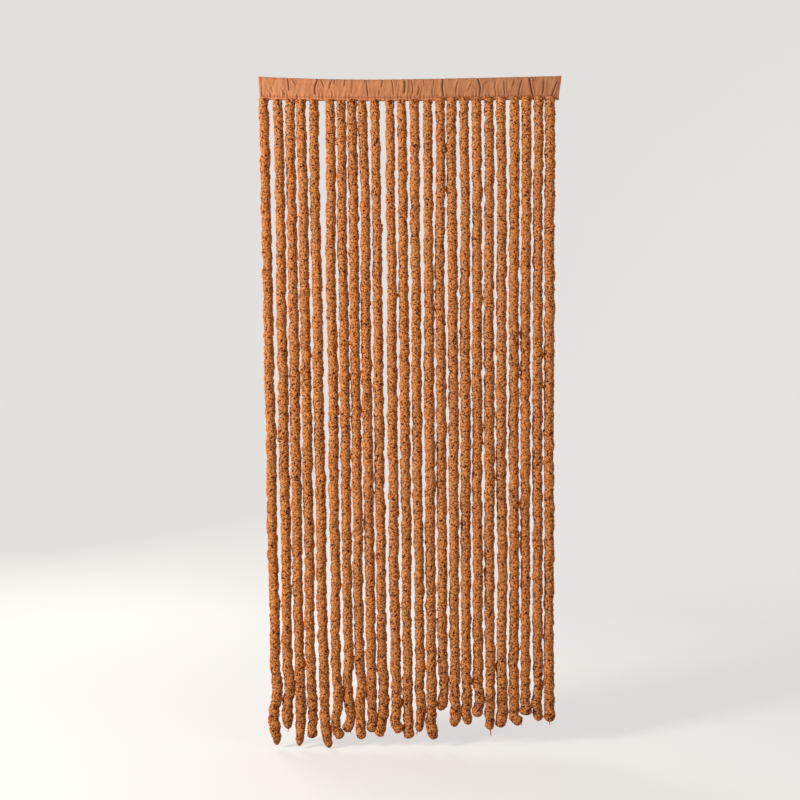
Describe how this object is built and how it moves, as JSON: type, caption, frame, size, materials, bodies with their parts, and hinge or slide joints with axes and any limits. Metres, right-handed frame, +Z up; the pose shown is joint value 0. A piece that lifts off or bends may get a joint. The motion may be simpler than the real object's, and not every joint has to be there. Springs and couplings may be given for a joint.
{
  "type": "string door curtain",
  "caption": "String door curtain: a gathered cotton heading, sewn as an open sleeve for a rod, with thick chenille strands hanging from its hem nearly to the floor.",
  "frame": {"origin": "middle of the heading's top edge, where the curtain is held", "axes": "+Z up, +X along the heading to the right of someone who looks at the front, -Y towards that viewer"},
  "size_m": [0.902, 0.0363, 2.0018],
  "materials": {
    "heading_cotton": "plain-woven cotton dyed peach terracotta, matt, softly creased by its gathers",
    "strand_chenille": "nubby looped chenille pile in rust orange, matt, dark between the nubs"
  },
  "bodies": {
    "root": {"heading_sleeve": "heading_cotton", "hem_and_strands": "strand_chenille"}
  },
  "joints": []
}
